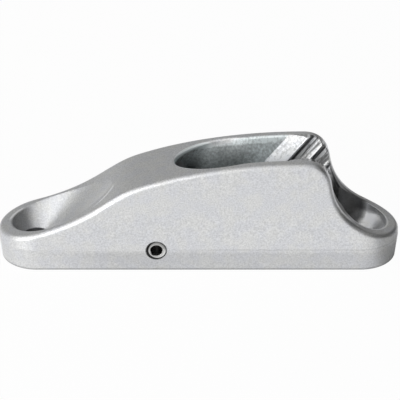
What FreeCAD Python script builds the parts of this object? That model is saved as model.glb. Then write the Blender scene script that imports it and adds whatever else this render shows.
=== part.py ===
import FreeCAD, Part
import math
import os

os.makedirs("parts", exist_ok=True)
Vec = FreeCAD.Vector

# A jam cleat for 3 to 6 mm rope. X runs along the cleat, from the loaded end (-X) to the end where the
# free tail leaves (+X). Y is across it, Z is up from the face that is screwed down. Millimetres.

# Outline in plan: straight sides and round ends, widest at the parting line of the casting
length = 82.0
width_at_parting = 15.7
width_at_base = 14.5
width_at_crown = 14.7
parting_height = 5.0
height = 24.8

# Side profile: places along the cleat are measured from the nearer end, with the slope there
lug_front_height = 6.7
lug_front_slope = 11.5
ramp_place = 21.0
ramp_height = 14.95
ramp_slope = 35.0
shoulder_place = 32.0
shoulder_height = 20.5
shoulder_slope = 17.5
crest_from_tail = 19.6
nose_from_tail = 14.0
nose_height = 19.0
nose_slope = -81.0
lug_tail_height = 6.6
lug_tail_slope = -28.0

# How far each curve of the profile keeps the slope of its two ends, as a share of its chord
lug_to_ramp_pulls = (0.45, 0.3)
ramp_to_shoulder_pulls = (0.48, 0.46)
shoulder_to_crest_pulls = (0.3, 0.34)
crest_to_nose_pulls = (0.53, 0.32)
nose_to_lug_pulls = (0.58, 0.1)

# Rounded edges
outer_round = 1.0
rim_round = 0.6
recess_round = 0.3
foot_break = 0.35

# Screw holes and the recesses over them
screw_inset = 7.65
screw_hole_diameter = 5.2
screw_seat_height = 4.4
screw_cone_angle = 94.0
front_recess_length = 35.4
front_recess_width = 31.2
front_recess_shift = 2.2
tail_recess_diameter = 10.5
tail_recess_round = 2.0
recess_draft = 2.5

# The V channel
channel_start = 36.1
channel_floor_height = 6.5
channel_floor_width = 4.6
channel_top_width = 10.6
channel_end_length = 7.2
channel_end_flare = 0.9
channel_neck_place = 53.0
channel_back_slope = 58.0

# Teeth: slanted saw-tooth ridges on both walls of the channel
tooth_count = 3
tooth_pitch = 4.3
tooth_depth = 1.0
tooth_slant = 49.0
tooth_face_width = 1.35
tooth_back_width = 1.2
first_tooth_from_tail = 18.3
first_tooth_lead = 1.8

# The passage that brings the rope up from below, and the pin that it turns over
passage_from_front = 21.0
passage_length = 11.4
passage_width = 7.2
passage_top_width = 6.0
passage_top_height = 14.0
pin_place = 32.4
pin_height = 4.85
pin_diameter = 4.0
pin_bore = 2.4
pin_clearance = 0.01
pin_recess = 0.15
pin_edge_break = 0.15
pin_hole_mouth = 0.3

# Room that a cutter runs past the face that it cuts, and the gap below which two shapes touch
past = 2.0
touching = 0.001

front_x = -length / 2
tail_x = length / 2
screw_x = length / 2 - screw_inset
wall_foot = channel_floor_height + channel_floor_width / 2
wall_lean = (channel_top_width - channel_floor_width) / 2 / (height - wall_foot)


def unit(angle):
    """Direction in the XZ plane at an angle above +X."""
    return Vec(math.cos(math.radians(angle)), 0, math.sin(math.radians(angle)))


def profile_curve(start, end, start_slope, end_slope, pulls):
    """A smooth curve from start to end that leaves and arrives at the given slopes."""
    chord = (end - start).Length
    curve = Part.BezierCurve()
    curve.setPoles([
        start,
        start + unit(start_slope) * (pulls[0] * chord),
        end - unit(end_slope) * (pulls[1] * chord),
        end,
    ])
    return curve.toShape()


def side_profile():
    """The solid under the top surface of the cleat: its side profile, drawn across the whole width."""
    front = Vec(front_x, 0, lug_front_height)
    ramp = Vec(front_x + ramp_place, 0, ramp_height)
    shoulder = Vec(front_x + shoulder_place, 0, shoulder_height)
    crest = Vec(tail_x - crest_from_tail, 0, height)
    nose = Vec(tail_x - nose_from_tail, 0, nose_height)
    tail = Vec(tail_x, 0, lug_tail_height)
    front_out = front - unit(lug_front_slope) * past
    tail_out = tail + unit(lug_tail_slope) * past
    low_front = Vec(front_out.x, 0, -past)
    low_tail = Vec(tail_out.x, 0, -past)
    edges = [
        Part.makeLine(low_front, front_out),
        Part.makeLine(front_out, front),
        profile_curve(front, ramp, lug_front_slope, ramp_slope, lug_to_ramp_pulls),
        profile_curve(ramp, shoulder, ramp_slope, shoulder_slope, ramp_to_shoulder_pulls),
        profile_curve(shoulder, crest, shoulder_slope, 0.0, shoulder_to_crest_pulls),
        profile_curve(crest, nose, 0.0, nose_slope, crest_to_nose_pulls),
        profile_curve(nose, tail, nose_slope, lug_tail_slope, nose_to_lug_pulls),
        Part.makeLine(tail, tail_out),
        Part.makeLine(tail_out, low_tail),
        Part.makeLine(low_tail, low_front),
    ]
    face = Part.Face(Part.Wire(edges))
    reach = width_at_parting
    face.translate(Vec(0, -reach, 0))
    return face.extrude(Vec(0, 2 * reach, 0))


def drafted_stadium(low, low_width, high, high_width):
    """A long block with round ends whose walls lean in or out between two heights."""
    low_r = low_width / 2
    high_r = high_width / 2
    centre = length / 2 - width_at_parting / 2
    block = Part.makeCone(low_r, high_r, high - low, Vec(-centre, 0, low))
    block = block.fuse(Part.makeCone(low_r, high_r, high - low, Vec(centre, 0, low)))
    section = Part.makePolygon([
        Vec(-centre, -low_r, low),
        Vec(-centre, low_r, low),
        Vec(-centre, high_r, high),
        Vec(-centre, -high_r, high),
        Vec(-centre, -low_r, low),
    ])
    middle = Part.Face(section).extrude(Vec(2 * centre, 0, 0))
    return block.fuse(middle).removeSplitter()


def envelope():
    """The outside of the casting, with its top edge rounded and its bottom edge broken."""
    foot = drafted_stadium(0, width_at_base, parting_height, width_at_parting)
    upper = drafted_stadium(parting_height, width_at_parting, height, width_at_crown)
    block = foot.fuse(upper).common(side_profile()).removeSplitter()
    top_edges = []
    for edge in block.Edges:
        box = edge.BoundBox
        if box.ZMin > parting_height + touching and box.XLength > touching:
            top_edges.append(edge)
    block = block.makeFillet(outer_round, top_edges)
    bottom_edges = [edge for edge in block.Edges if edge.BoundBox.ZMax < touching]
    return block.makeFillet(foot_break, bottom_edges)


def wall_half_width(z, narrower=0.0):
    """Half the width of the V channel at a height."""
    return channel_floor_width / 2 + (z - wall_foot) * wall_lean - narrower


def channel_end_x(z):
    """Where the closed end of the channel lies at a height: it leans over the passage."""
    rise = z - shoulder_height
    return front_x + channel_start + rise / math.tan(math.radians(channel_back_slope))


def slot_wire(z, half_width, flare):
    """A horizontal section of the channel: a flared round end, a neck, then straight to the tail."""
    joint_x = channel_end_x(z) + channel_end_length
    neck_x = front_x + channel_neck_place
    middle_x = (joint_x + neck_x) / 2
    flared = half_width + flare
    ellipse = Part.Ellipse(Vec(joint_x, 0, z), channel_end_length, flared)
    edges = [Part.Arc(ellipse, math.pi / 2, 3 * math.pi / 2).toShape()]
    for side in (-1, 1):
        neck = Part.BezierCurve()
        neck.setPoles([
            Vec(joint_x, side * flared, z),
            Vec(middle_x, side * flared, z),
            Vec(middle_x, side * half_width, z),
            Vec(neck_x, side * half_width, z),
        ])
        edges.append(neck.toShape())
        edges.append(Part.makeLine(Vec(neck_x, side * half_width, z), Vec(screw_x, side * half_width, z)))
    edges.append(Part.makeLine(Vec(screw_x, -half_width, z), Vec(screw_x, half_width, z)))
    return Part.Wire(Part.sortEdges(edges)[0])


def channel_cutter(narrower=0.0):
    """The space of the V channel, from its round floor to above the crown."""
    top = height + past
    floor_r = wall_half_width(wall_foot, narrower)
    top_r = wall_half_width(top, narrower)
    wires = [slot_wire(wall_foot, floor_r, 0), slot_wire(top, top_r, channel_end_flare)]
    cutter = Part.makeLoft(wires, True, True)
    start = Vec(channel_end_x(wall_foot) + channel_end_length, 0, wall_foot)
    floor = Part.makeCylinder(floor_r, screw_x - start.x, start, Vec(1, 0, 0))
    return cutter.fuse(floor)


def passage_wire(z):
    """A horizontal section of the rope's passage, which leans from its mouth up to the channel's end."""
    share = z / passage_top_height
    mouth_x = front_x + passage_from_front
    end_x = mouth_x + (channel_end_x(passage_top_height) - mouth_x) * share
    half_width = (passage_width + (passage_top_width - passage_width) * share) / 2
    ellipse = Part.Ellipse(Vec(end_x + passage_length / 2, 0, z), passage_length / 2, half_width)
    return Part.Wire(ellipse.toShape())


def passage_cutter():
    """The rope's passage from under the foot to the channel."""
    return Part.makeLoft([passage_wire(-past), passage_wire(passage_top_height)], True, True)


def screw_hole(x):
    """A screw hole from under the foot up into its recess."""
    return Part.makeCylinder(screw_hole_diameter / 2, screw_seat_height + 2 * past, Vec(x, 0, -past))


def front_recess():
    """The front screw hole and its recess: an oval cone that opens up the ramp until it fades out there."""
    seat = Part.Circle(Vec(-screw_x, 0, screw_seat_height), Vec(0, 0, 1), screw_hole_diameter / 2)
    centre = Vec(front_recess_shift - screw_x, 0, shoulder_height)
    mouth = Part.Ellipse(centre, front_recess_length / 2, front_recess_width / 2)
    recess = Part.makeLoft([Part.Wire(seat.toShape()), Part.Wire(mouth.toShape())], True, True)
    return recess.fuse(screw_hole(-screw_x))


def tail_recess():
    """The tail's screw hole and recess: a cone that turns into a round wall, open to the channel's end."""
    hole_r = screw_hole_diameter / 2
    low_r = tail_recess_diameter / 2
    low = screw_seat_height + (low_r - hole_r) / math.tan(math.radians(screw_cone_angle / 2))
    high_r = low_r + (height - low) * math.tan(math.radians(recess_draft))
    cone = Part.makeCone(hole_r, low_r, low - screw_seat_height, Vec(screw_x, 0, screw_seat_height))
    recess = cone.fuse(Part.makeCone(low_r, high_r, height - low, Vec(screw_x, 0, low)))
    seam = [edge for edge in recess.Edges if abs(edge.BoundBox.Center.z - low) < touching]
    return recess.makeFillet(tail_recess_round, seam).fuse(screw_hole(screw_x))


def edges_between(shape, one, other):
    """The edges of a shape that lie on the surfaces of two other shapes."""
    found = []
    for edge in shape.Edges:
        middle = edge.valueAt((edge.FirstParameter + edge.LastParameter) / 2)
        point = Part.Vertex(middle)
        near_one = one.distToShape(point)[0] < touching
        if near_one and other.distToShape(point)[0] < touching:
            found.append(edge)
    return found


def grooved(block, narrower=0.0):
    """The casting with its V channel, and the channel's rim rounded."""
    cutter = channel_cutter(narrower)
    shape = block.cut(cutter)
    rim = edges_between(shape, Part.Compound(block.Faces), Part.Compound(cutter.Faces))
    rim = [edge for edge in rim if edge.BoundBox.XMin < screw_x - past]
    return shape.makeFillet(rim_round, rim)


def tooth(index, side):
    """One slanted ridge on a wall of the channel: a long rising face, a crest and a short back."""
    slant = math.radians(tooth_slant)
    along = Vec(math.cos(slant), side * wall_lean * math.sin(slant), math.sin(slant)).normalize()
    inward = Vec(0, -side, wall_lean).normalize()
    across = inward.cross(along) * side
    crest_x = tail_x - first_tooth_from_tail + index * tooth_pitch
    wall = Vec(crest_x, side * channel_top_width / 2, height)
    foot = -(rim_round + outer_round)
    back = across * -tooth_back_width
    lead = first_tooth_lead if index == 0 else 0
    face = across * (tooth_face_width + lead)
    corners = [
        wall + face + inward * foot,
        wall + face,
        wall + inward * tooth_depth,
        wall + back,
        wall + back + inward * foot,
        wall + face + inward * foot,
    ]
    section = Part.Face(Part.makePolygon(corners))
    down = (height - channel_floor_height) / math.sin(slant)
    section.translate(along * past)
    return section.extrude(along * -(down + past))


def side_half_width(z):
    """Half the width of the casting at a height below the parting line."""
    share = z / parting_height
    return (width_at_base + (width_at_parting - width_at_base) * share) / 2


def pin_hole():
    """The cross hole for the pin, with a small countersunk mouth on each side."""
    x = front_x + pin_place
    r = pin_diameter / 2 + pin_clearance
    half = side_half_width(pin_height)
    hole = Part.makeCylinder(r, 2 * (half + past), Vec(x, -half - past, pin_height), Vec(0, 1, 0))
    for side in (-1, 1):
        outer = Vec(x, side * (half + past), pin_height)
        deep = past + pin_hole_mouth
        mouth = Part.makeCone(r + deep, r, deep, outer, Vec(0, -side, 0))
        hole = hole.fuse(mouth)
    return hole


def cross_pin():
    """The hollow pin across the passage, just short of both sides of the casting."""
    x = front_x + pin_place
    half = side_half_width(pin_height) - pin_recess
    axis = Vec(0, 1, 0)
    start = Vec(x, -half, pin_height)
    pin = Part.makeCylinder(pin_diameter / 2, 2 * half, start, axis)
    pin = pin.cut(Part.makeCylinder(pin_bore / 2, 2 * half, start, axis))
    ends = [edge for edge in pin.Edges if edge.BoundBox.YLength < touching]
    return pin.makeChamfer(pin_edge_break, ends)


def cleat_body():
    """The whole casting: outside, channel, teeth, recesses, rope passage and pin hole."""
    block = envelope()
    casting = grooved(block)
    crests = grooved(block, tooth_depth)
    ridges = [tooth(i, side).common(crests) for i in range(tooth_count) for side in (-1, 1)]
    casting = casting.fuse(ridges)
    recess = front_recess()
    for cutter in (recess, tail_recess(), passage_cutter(), pin_hole()):
        casting = casting.cut(cutter)
    rim = edges_between(casting, Part.Compound(block.Faces), Part.Compound(recess.Faces))
    rim = [edge for edge in rim if edge.BoundBox.ZMin > parting_height]
    return casting.makeFillet(recess_round, rim)


nodes = {"cleat_body": cleat_body(), "cross_pin": cross_pin()}
for name, shape in nodes.items():
    shape.exportStep("parts/" + name + ".step")
    print(name, shape.isValid(), len(shape.Solids), "solids", round(shape.Volume, 1), "mm3")
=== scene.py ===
# %% [markdown]
# # A jam cleat of cast aluminium
# A jam cleat holds a rope without a knot: the rope is pressed into a V with slanted teeth.
# The shape is finished before this scene starts, as a casting and a hollow cross pin.
# Here it gets its two metals, a pale table, soft light and the camera of the photograph.

# %% Read the finished shape
import math

import bpy
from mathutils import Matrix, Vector

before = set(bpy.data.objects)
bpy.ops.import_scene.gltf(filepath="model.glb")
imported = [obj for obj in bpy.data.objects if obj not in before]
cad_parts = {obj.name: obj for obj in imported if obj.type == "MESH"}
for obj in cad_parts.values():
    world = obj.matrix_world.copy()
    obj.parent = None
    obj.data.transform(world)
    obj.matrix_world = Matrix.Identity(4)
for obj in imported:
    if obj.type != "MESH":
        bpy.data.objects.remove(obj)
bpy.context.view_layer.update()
print("pieces:", ", ".join(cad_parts))

# %% [markdown]
# ## A formula as nodes
# A finish that varies over a surface is a formula of the place on it, and Blender works it out
# with nodes. The nodes could be made and linked one at a time, but a formula is then hard to
# read back. So one function makes every node, and a small class wraps the output of a node, so
# that plain sums with it add the nodes of the sum.


# %% A value in a node tree
def add_node(tree, kind, inputs=None, **settings):
    """Adds a node of any kind: its settings first, then its values and links."""
    made = tree.nodes.new(kind)
    for name, value in settings.items():
        setattr(made, name, value)
    for name, value in (inputs or {}).items():
        if isinstance(value, Wire):
            value.feed(made.inputs[name])
        else:
            made.inputs[name].default_value = value
    return made


class Wire:
    """The output of a node. A sum, product or power of it adds a Math node."""

    def __init__(self, socket):
        self.socket = socket
        self.tree = socket.id_data

    def feed(self, socket):
        self.tree.links.new(self.socket, socket)

    def node(self, kind, inputs=None, output=0, **settings):
        """A new node beside this one, of which one output goes on."""
        return Wire(add_node(self.tree, kind, inputs, **settings).outputs[output])

    def axes(self):
        """The x, y and z of a place or a direction."""
        return [self.node("ShaderNodeSeparateXYZ", {"Vector": self}, output=n) for n in range(3)]

    def maths(self, operation, *values):
        return self.node("ShaderNodeMath", dict(enumerate(values)), operation=operation)

    def __add__(self, other):
        return self.maths("ADD", self, other)

    def __sub__(self, other):
        return self.maths("SUBTRACT", self, other)

    def __rsub__(self, other):
        return self.maths("SUBTRACT", other, self)

    def __mul__(self, other):
        return self.maths("MULTIPLY", self, other)

    def __truediv__(self, other):
        return self.maths("DIVIDE", self, other)

    def __pow__(self, other):
        return self.maths("POWER", self, other)

    __radd__ = __add__
    __rmul__ = __mul__


print("sums in a node tree:", ", ".join(name for name in vars(Wire) if name.startswith("__")))

# %% [markdown]
# ## Soft borders
# Each mark on the metal covers a place: inside a hole, below a line, near an edge. A hard border
# would look like a sticker, so each mask runs smoothly from 0 to 1 between two values. The
# product of two masks is the place that both cover.


# %% Masks with soft borders
def rises(value, low, high):
    """0 below low, 1 above high, and smooth between."""
    ends = {"Value": value, "From Min": low, "From Max": high}
    return value.node("ShaderNodeMapRange", ends, interpolation_type="SMOOTHSTEP")


def falls(value, low, high):
    """1 below low, 0 above high, and smooth between."""
    return 1 - rises(value, low, high)


def size_of(value):
    return value.maths("ABSOLUTE", value)


def distance(one, other):
    return (one * one + other * other) ** 0.5


print("soft masks: rises, falls")

# %% [markdown]
# ## Two plain metals
# The casting is satin aluminium, anodised without a dye, and the pin is stainless steel tube.
# Both start as the same plain metal, so one function makes both. The place on the object is read
# in millimetres, so that a mark can be put where a drawing of the part would put it.

# %% A plain metal
MM = 0.001


def metal(name):
    """A metal, its shader, and the place on the object as a vector and in millimetres."""
    material = bpy.data.materials.new(name)
    material.use_nodes = True
    shader = material.node_tree.nodes["Principled BSDF"]
    shader.inputs["Metallic"].default_value = 1.0
    place = Wire(add_node(material.node_tree, "ShaderNodeTexCoord").outputs["Object"])
    return material, shader, place, [axis / MM for axis in place.axes()]


cast, cast_shader, cast_place, (x, y, z) = metal("cast_aluminium")
steel, steel_shader, _, (pin_x, _, pin_z) = metal("stainless_pin")
steel_shader.inputs["Roughness"].default_value = 0.3
print("metals:", cast.name, steel.name)

# %% [markdown]
# ## The grain of the casting
# A tumbled casting has a fine, even grain. It could be a photographed texture, but noise in
# three dimensions needs no unwrapping and has no seams. One noise is fine, about 0.3 mm, and
# one is broad and weak. The fine one also feeds a bump, so that the grain catches the light.
# Coarser pits are for the channel, which is less smooth.


# %% Grain, pits and broad cloudiness
def noise(spots_per_metre, detail):
    inputs = {"Vector": cast_place, "Scale": spots_per_metre, "Detail": detail}
    return cast_place.node("ShaderNodeTexNoise", inputs)


grain_per_metre, pits_per_metre, clouds_per_metre = 3300.0, 1900.0, 350.0
grain = noise(grain_per_metre, 1.0)
pits = noise(pits_per_metre, 1.0)
cloud = noise(clouds_per_metre, 2.0)
bump = {"Height": grain, "Distance": 0.02 * MM, "Strength": 0.35}
cast_place.node("ShaderNodeBump", bump).feed(cast_shader.inputs["Normal"])
print("grain of about", round(1 / grain_per_metre / MM, 1), "mm")

# %% [markdown]
# ## Where the features are
# Marks are put where a drawing would put them. They could be painted on an unwrapped picture of
# the part, but then none would follow a change of size. The channel, the screw holes and the pin
# have known places and sizes in millimetres, and all the masks below use these few numbers.

# %% Places on the part
channel_end_x, channel_end_length, channel_mouth_x = 2.2, 7.5, 29.5
channel_half_width, channel_floor_half_width = 5.65, 2.3
crown_x, top_height, top_drop = 21.4, 24.8, 0.00465
screw_x, screw_hole_r, screw_seat, recess_r = 33.35, 2.6, 4.4, 5.3
pin_place_x, pin_height, pin_r, pin_bore_r = -8.6, 4.85, 2.0, 1.2
parting_height = 5.15
print("screw holes at x", -screw_x, "and", screw_x, "mm, pin at", pin_place_x, "mm")

# %% [markdown]
# ## Shade in the channel
# Little light reaches the channel, so shade is painted over it, and its skin is also duller,
# because tumbling doesn't reach it. The painted shade is darkest on the floor of the closed end,
# and light is painted on the tip above that floor. The rim is rounded, and a painted highlight
# runs along it, wide in the middle and thin round the end. The depth below the top is a simple
# curve, since the top is one: it drops with the square of the distance from its crown.

# %% Zones of the channel
ahead = x.maths("MAXIMUM", channel_end_x - x, 0.0) / channel_end_length
outline = falls(ahead * ahead + (y / channel_half_width) ** 2, 0.88, 0.99)
channel = outline * rises(z, 4.0, 7.0) * falls(x, channel_mouth_x - 1, channel_mouth_x)
depth = top_height - top_drop * (crown_x - x) ** 2 - z
# Painted highlight along the channel's rounded rim.
rim_highlight = channel * falls(depth - 0.8 * rises(x, -2.5, 3.5), 0.35, 0.9)
rim_highlight = rim_highlight * (1 - 0.35 * rises(x, 3.0, 6.0))
# Painted light at the channel's closed tip, and painted shade on its floor there.
lit_tip = channel * falls(x, 0.0, 5.0)
tip_floor_shade = channel * falls(x, -2.5, 5.0) * rises(depth, 0.8, 5.5)
print("channel from x", round(channel_end_x - channel_end_length, 1), "to", channel_mouth_x, "mm")

# %% [markdown]
# ## The tail's recess
# A recess lies over each screw hole, so that the screw's head sinks in. Shade is painted in
# both holes below their seats. In the tail's recess, shade is painted on the side at the
# channel's mouth, and highlights on the wall and the rounded rim behind the screw. The lights
# could do this alone, but a few lamps leave a hollow flatter than a whole studio does, so painted
# masks help them. The border between shade and shine leans, as a shadow's does: it follows a sum
# of all three lengths, not x alone.

# %% Marks in the tail's recess
# Painted shade inside both screw holes, below their seats.
hole_shade = falls(distance(size_of(x) - screw_x, y), screw_hole_r, screw_hole_r + 0.08)
hole_shade = hole_shade * falls(z, screw_seat - 0.3, screw_seat)
lean_across, lean_up, lean_top = 0.38, 0.9, 6.0
below_lean_top = lean_top - z.maths("MINIMUM", z, lean_top)
tailward = x - lean_across * y + lean_up * below_lean_top
from_screw = distance(x - screw_x, y)
seat_wall = falls(from_screw, recess_r + 0.1, recess_r + 0.35) * rises(z, 2.0, 4.0)
# Painted highlights on the recess wall, on its top and on the rim behind the screw.
seat_shine = seat_wall * rises(tailward, 32.0, 34.2)
seat_top_shine = seat_shine * rises(z, 5.2, 6.4)
seat_rim_shine = falls(size_of(from_screw - recess_r), 0.1, 0.3) * rises(tailward, 33.0, 36.0)
mouth = falls(size_of(y), 5.6, 6.3) * rises(x, 27.0, 28.0)
# Painted shade on the side at the channel's mouth.
seat_shade = mouth * falls(tailward, 31.4, 33.6) * rises(z, 3.0, 5.0)
print("screw holes", 2 * screw_hole_r, "mm wide, tail's recess", 2 * recess_r, "mm")

# %% [markdown]
# ## The front recess
# Shade is painted on the wall at the front end, and a highlight on a part of the rim there.
# Both follow the distance from the screw's axis, as in the tail's recess. This one runs up the
# ramp as an oval, and a faint painted highlight marks its upper end. The mask follows the oval's
# own equation, which gives 1 on the edge, so that no points have to be placed by hand.

# %% Marks in the front recess
from_front_screw = distance(x + screw_x, y)
front_wall = falls(from_front_screw, recess_r - 0.3, recess_r + 0.1)
# Painted shade on the front wall, and a painted highlight on part of its rim.
front_shade = front_wall * falls(x, -36.0, -33.8)
front_rim_shine = falls(size_of(from_front_screw - recess_r - 0.1), 0.1, 0.4) * rises(z, 4.0, 5.0)
front_rim_shine = front_rim_shine * rises(y, 0.5, 2.5) * falls(x, -37.0, -35.6)
oval_x, oval_half_length, oval_half_width = -24.2, 7.0, 6.0
oval = distance((x - oval_x) / oval_half_length, y / oval_half_width)
# Painted highlight on the oval's upper end.
upper_end_highlight = falls(size_of(oval - 1), 0.02, 0.06) * rises(z, 10.0, 12.0)
upper_end_highlight = upper_end_highlight * rises(x, -22.5, -19.5) * falls(y, -2.5, -0.5)
print("front recess up the ramp to about x", round(oval_x + oval_half_length, 1), "mm")

# %% [markdown]
# ## Gap round the pin, and the line of the mould
# Shade is painted in the gap that runs round the pin. The mould's two halves met 5 mm up and
# left a faint line, and the side is slightly darker below it. Shade is painted along the foot,
# where it stands on the table. The gap and the line are finer than the mesh is, and the rest is
# only a change of shade, so they are drawn and not cut into the shape.

# %% Gap, mould line and foot
# Painted shade in the gap round the pin.
pin_gap_shade = falls(distance(x - pin_place_x, z - pin_height), pin_r + 0.05, pin_r + 0.2)
mould_line = falls(size_of(z - parting_height), 0.04, 0.25) * rises(x, -14.0, 8.0)
below_line = falls(z, 3.9, parting_height) * rises(x, -38.0, -14.0)
# Painted shade along the foot, where it meets the table.
foot = falls(z, 0.25, 0.7)
print("mould line", parting_height, "mm up")

# %% [markdown]
# ## Across and along the teeth
# The teeth stand on the channel's walls as slanted ridges. All their marks follow the distance
# across them, which is one sum of x and z, counted from the first crest towards the tail. Rope
# leaves streaks along each tooth. They could be painted one by one, but noise that is stretched
# along the teeth looks the same.

# %% Distances and streaks
slant = math.radians(49.0)
spacing, first_crest_x = 4.3, 22.7
pitch = spacing * math.sin(slant)


def square_to_teeth(place_x, height):
    return math.cos(slant) * height - math.sin(slant) * place_x


behind = square_to_teeth(first_crest_x, top_height) - square_to_teeth(x, z)
along = x * math.cos(slant) + z * math.sin(slant)
streaks_per_mm, streak_stretch = 2.6, 0.08
stretched = x.node("ShaderNodeCombineXYZ", {"X": behind, "Y": along * streak_stretch})
streak_noise = {"Vector": stretched, "Scale": streaks_per_mm, "Detail": 2.0}
streaks = rises(x.node("ShaderNodeTexNoise", streak_noise), 0.36, 0.64)
print("teeth every", round(pitch, 2), "mm across")

# %% [markdown]
# ## Faces, backs, roots and crests
# A tooth has a long face, a crest with a painted highlight, which the rope also polishes
# smoother, a short back with painted shade, and a root with a painted highlight. The first face
# is longer and smoother than the later ones, so it has its own mask. The others repeat, so the
# remainder after whole pitches tells where on a tooth a place lies.

# %% Masks for the parts of a tooth
walls = channel * falls(x, 26.3, 27.3)
walls = walls * rises(size_of(y), channel_floor_half_width, channel_floor_half_width + 0.4)
first_face_length = 3.2
before_teeth = falls(behind, -first_face_length - 0.1, -first_face_length + 0.1)
# Painted light in the open middle of the channel, before the teeth.
lit_middle = channel * before_teeth * rises(x, 6.5, 13.0)
teeth = walls * (1 - before_teeth)
first_face = teeth * falls(behind, -0.15, 0.0)
later_faces = walls * rises(behind, 0.0, 0.15)
from_crest = behind.maths("MODULO", behind, pitch)
# Painted shade on the short backs of the later teeth.
backs = later_faces * rises(from_crest, 0.05, 0.2) * falls(from_crest, 0.85, 1.05)
# Painted highlight on the roots.
roots = later_faces * rises(from_crest, 0.95, 1.15) * falls(from_crest, 1.2, 2.0)
to_crest = behind.maths("PINGPONG", behind, pitch / 2)
# The crests get a painted highlight, and are also less rough.
crest = walls * rises(behind, -0.4, -0.1) * falls(to_crest, 0.15, 0.4)
print("masks for the walls, faces, backs, roots and crests")

# %% [markdown]
# ## How bright each place is
# Painted shade takes a share of the light away, and a painted highlight adds one, while the
# grain, the pits and the streaks vary the tone. The factor for the painted shade in the holes,
# 1 - 0.75 times its mask, leaves a quarter of the light there, and all of it elsewhere. Layers of
# colour could be mixed one over the other, but factors need no order: they are multiplied, and
# the product is held below a limit, so that no metal turns white.

# %% Shares of light
speckle = 0.68 + 0.58 * grain + 0.08 * cloud
# Painted shade in the channel, lighter at the tip and darkest on its floor, times the real pits.
channel_shade_and_pits = (1 - 0.42 * channel) * (1 + 1.2 * lit_tip) * (1 - 0.88 * tip_floor_shade)
channel_shade_and_pits = channel_shade_and_pits * (1 + channel * (pits - 0.5))
# Painted highlights on the channel's rim and in its open middle.
rim_and_middle_highlights = (1 + before_teeth * rim_highlight * (0.8 + 0.5 * lit_tip)) * (1 + lit_middle * (0.75 - 0.2 * rim_highlight))
# Painted shade in the holes, the gap round the pin and the recesses, and painted highlights
# there.
hole_and_gap_shade = (1 - 0.75 * hole_shade) * (1 - 0.7 * pin_gap_shade)
recess_shade = (1 - 0.83 * seat_shade) * (1 - 0.32 * front_shade)
recess_highlights = 1 + 0.6 * seat_shine + 1.7 * seat_top_shine + 0.5 * seat_rim_shine + 0.9 * front_rim_shine + 0.4 * upper_end_highlight
# The mould line, the side darker below it, and painted shade along the foot.
lines_and_foot_shade = (1 - 0.15 * mould_line) * (1 - 0.15 * below_line) * (1 - 0.38 * foot)
streaked = (1 + teeth * (0.24 * streaks - 0.12)) * (1 + later_faces * (1.1 * streaks - 0.5))
# Painted shade on the teeth's backs, painted highlights on roots and crests, painted light on the
# first face.
tooth_shade_and_highlights = (1 - 0.6 * backs) * (1 + 2.4 * roots) * (1 + 1.4 * crest)
first_face_light = 1 + first_face * (0.5 + 1.25 * falls(z, 19.5, 23.5))
share = speckle * channel_shade_and_pits * rim_and_middle_highlights * hole_and_gap_shade * recess_shade * recess_highlights * lines_and_foot_shade * streaked * tooth_shade_and_highlights * first_face_light
brightest = 1.45
share = share.maths("MINIMUM", share, brightest)
print("share of light: up to", brightest)

# %% [markdown]
# ## The casting's colour
# The skin of the metal varies a little between a cooler and a warmer grey, and the channel is
# a slightly greener grey. Mix nodes blend these, and a last one goes from black to the skin by
# the share of light. The rubbed crests are also smoother than the rest.


# %% Colour and roughness of the casting
def blend(share, one, other):
    """Two colours mixed, where a share above 1 makes the second brighter still."""
    factor, first_colour, second_colour, colour_out = 0, 6, 7, 2
    inputs = {factor: share, first_colour: one, second_colour: other}
    settings = {"data_type": "RGBA", "clamp_factor": False}
    return share.node("ShaderNodeMix", inputs, output=colour_out, **settings)


black = (0, 0, 0, 1)
cooler, warmer = (0.642, 0.65, 0.672, 1), (0.652, 0.655, 0.655, 1)
channel_skin = (0.62, 0.66, 0.67, 1)
skin = blend(rises(cloud, 0.35, 0.65), cooler, warmer)
skin = blend(channel * before_teeth, skin, channel_skin)
blend(share, black, skin).feed(cast_shader.inputs["Base Color"])
(0.42 + 0.08 * cloud - 0.1 * crest).feed(cast_shader.inputs["Roughness"])
print("aluminium from", cooler[:3], "to", warmer[:3])

# %% [markdown]
# ## The pin's end
# The pin is a tube. Shade is painted in its bore, its lip is bright, and a line of painted shade
# runs round its edge, where it was pressed into the casting, wider at the lower left. Shade is
# painted on the lip's upper half. A picture of the end would blur close by, so all of these are
# rings round the axis.

# %% Rings on the pin
pin_ring = distance(pin_x - pin_place_x, pin_z - pin_height)
# Painted shade in the bore.
bore = falls(pin_ring, pin_bore_r - 0.05, pin_bore_r + 0.05)
lower_left = (pin_place_x + pin_height) - (pin_x + pin_z)
# Painted shade along the edge, wider at the lower left.
edge = rises(pin_ring + 0.1 * lower_left, 1.7, 1.82)
inner_lip = falls(pin_ring, 1.4, 1.55)
# Painted shade on the lip's upper half.
upper_shade = rises(pin_ring, 1.4, 1.6) * rises(pin_z - pin_height, -0.4, 0.8)
pin_shade_and_tone = (1 - 0.999 * bore) * (1 - 0.95 * edge) * (1 - 0.3 * inner_lip) * (1 - 0.55 * upper_shade)
steel_skin = (0.72, 0.72, 0.71, 1)
blend(pin_shade_and_tone, black, steel_skin).feed(steel_shader.inputs["Base Color"])
print("pin bore", 2 * pin_bore_r, "mm, edge", 2 * pin_r, "mm")

# %% [markdown]
# ## Finishes on the pieces
# The pieces stay where model.glb put them. A material could be given face by face, but each
# piece is one metal all over, so each gets one material through its slot.

# %% Put the metals on
for name, material in {"cleat_body": cast, "cross_pin": steel}.items():
    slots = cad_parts[name].data.materials
    slots.clear()
    slots.append(material)
    print(name, "is", material.name)

# %% [markdown]
# ## A table under it
# The photograph has a plain white ground. A curved backdrop would do as well, but seen from
# above, a plain sheet is enough. A plane is added, and its four corners are put where they go.


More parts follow.
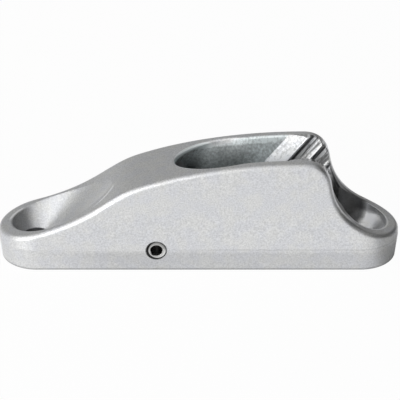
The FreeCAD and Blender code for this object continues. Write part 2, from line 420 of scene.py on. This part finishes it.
# %% A flat sheet
def sheet(name, corners, height):
    """A flat sheet between four corners in metres: near left, near right, far left, far right."""
    bpy.ops.object.select_all(action="DESELECT")
    bpy.ops.mesh.primitive_plane_add(size=1.0, location=(0, 0, 0))
    made = bpy.context.object
    made.name = name
    for point, corner in zip(made.data.vertices, corners):
        point.co = (*corner, height)
    return made


reach = 1.5
floor = sheet("floor", [(-reach, -reach), (reach, -reach), (-reach, reach), (reach, reach)], 0.0)
print("floor", [round(side, 2) for side in floor.dimensions])

# %% [markdown]
# ## The white of the table
# To the camera, and in the metal, the table is mostly an even white glow, so that it needs no
# strong lamps. The rest is white paper, which takes the soft shadow. Any other ray sees only
# the paper, so the metal mirrors the glow, and the glow lights nothing.


# %% White for the camera and in the metal
def bare_material(name):
    """A material with an empty node tree."""
    material = bpy.data.materials.new(name)
    material.use_nodes = True
    material.node_tree.nodes.clear()
    return material


white = bare_material("floor_white")
rays = add_node(white.node_tree, "ShaderNodeLightPath").outputs
seen = Wire(rays["Is Camera Ray"]) + Wire(rays["Is Glossy Ray"])
seen = seen + Wire(rays["Is Transmission Ray"])
glow = seen.node("ShaderNodeEmission", {"Color": (1, 1, 1, 1), "Strength": 1.0})
paper = seen.node("ShaderNodeBsdfDiffuse", {"Color": (0.9, 0.9, 0.9, 1)})
glow_share = 0.96
ground = seen.node("ShaderNodeMixShader", {0: seen * glow_share, 1: paper, 2: glow})
add_node(white.node_tree, "ShaderNodeOutputMaterial", {"Surface": ground})
floor.data.materials.append(white)
print("floor material:", white.name)

# %% [markdown]
# ## A darker card at the tail
# Metal shows what stands round it, and the tail end of the cleat is darker in the photograph.
# A sheet of pale grey card lies beside that end. It doesn't glow, so the metal shows it darker
# than the table. It is seen only in reflections. Its near edge runs away at a slant and fades
# in over 9 mm, so that the side darkens gradually.

# %% A card that only the metal sees
near_end, far_end = Vector((0.121, -0.105)), Vector((0.031, -0.007))
card = sheet("dark_card", [near_end, (0.4, -0.105), far_end, (0.4, 0.3)], 0.0003)
grey = bare_material("card_grey")
on_card = Wire(add_node(grey.node_tree, "ShaderNodeTexCoord").outputs["Object"])
card_x, card_y, _ = [axis / MM for axis in on_card.axes()]
slanted = (far_end - near_end).normalized()
inward = slanted.y * (card_x - far_end.x / MM) - slanted.x * (card_y - far_end.y / MM)
clear = inward.node("ShaderNodeBsdfTransparent")
dark = inward.node("ShaderNodeBsdfDiffuse", {"Color": (0.8, 0.8, 0.8, 1)})
faded = inward.node("ShaderNodeMixShader", {0: rises(inward, 0.0, 9.0), 1: clear, 2: dark})
add_node(grey.node_tree, "ShaderNodeOutputMaterial", {"Surface": faded})
card.data.materials.append(grey)
card.visible_camera = card.visible_diffuse = card.visible_shadow = False
print("card", [round(side, 3) for side in card.dimensions])

# %% [markdown]
# ## The studio round it
# The surroundings could be a picture of a studio, but a few smooth steps of brightness by
# direction are easier to steer: bright in front and low on the left, dimmer behind and above,
# and dark on the right.

# %% Brightness by direction
world = bpy.data.worlds.new("studio")
bpy.context.scene.world = world
world.use_nodes = True
direction = Wire(add_node(world.node_tree, "ShaderNodeTexCoord").outputs["Generated"])
to_right, to_back, up = direction.axes()
front = 0.45 + 0.5 * falls(to_back, -0.8, 0.4)
low_left = 0.2 * falls(to_right, -0.55, -0.2) * falls(up, 0.05, 0.35)
dark_right = rises(to_right, 0.1, 0.7) * falls(up, 0.6, 0.95)
level = (front + low_left) * (1 - 0.92 * dark_right) * (1 - 0.3 * rises(up, 0.8, 1.0))
backdrop = world.node_tree.nodes["Background"]
level.feed(backdrop.inputs["Strength"])
backdrop.inputs["Color"].default_value = (1.0, 1.0, 0.985, 1)
print("world:", world.name)

# %% [markdown]
# ## Soft lights
# The studio's brightness alone would leave every edge soft. So two small lights stand low on the
# left and draw the bright line on the near edge. One at the left brightens the front recess, and
# a broad one farther off lifts the teeth and the side.


# %% A soft square light
def soft_light(name, place, aim, side, power):
    """A square area light at a place, turned towards a point, all in metres and watts."""
    data = bpy.data.lights.new(name, "AREA")
    data.shape = "SQUARE"
    data.size = side
    data.energy = power
    lamp = bpy.data.objects.new(name, data)
    bpy.context.scene.collection.objects.link(lamp)
    lamp.location = place
    lamp.rotation_euler = (Vector(aim) - Vector(place)).to_track_quat("-Z", "Y").to_euler()
    print(name, power, "W")


soft_light("near_left", (-0.2, -0.26, 0.075), (-0.03, 0, 0.01), 0.12, 0.085)
soft_light("low_left", (-0.14, -0.16, 0.035), (-0.037, -0.005, 0.005), 0.07, 0.12)
soft_light("left", (-0.27, -0.05, 0.22), (-0.03, 0, 0.01), 0.14, 0.1)
soft_light("front_left", (-0.4, -0.5, 0.22), (0, 0, 0.01), 0.33, 0.6)

# %% [markdown]
# ## The photograph's camera
# The photograph shows the near side from 30 degrees above, and hardly any perspective. A short
# lens close by would make the near side too large. So the camera stands 0.8 m away and has a
# long lens. It aims about a centimetre above the foot.

# %% Camera
lens = bpy.data.cameras.new("camera")
lens.lens = 349.0
lens.sensor_width = 36.0
lens.clip_end = 10.0
camera = bpy.data.objects.new("camera", lens)
rise, away, aim = math.radians(30.0), 0.8, Vector((0.00029, 0.00537, 0.0093))
camera.location = aim + away * Vector((0, -math.cos(rise), math.sin(rise)))
camera.rotation_euler = (math.radians(90.0) - rise, 0.0, 0.0)
bpy.context.scene.collection.objects.link(camera)
bpy.context.scene.camera = camera
bpy.context.scene.view_settings.view_transform = "Standard"
print("lens", lens.lens, "mm, at", [round(part, 5) for part in camera.location])

# %% [markdown]
# ## The shape stays as it was
# Nothing above changes the shape.
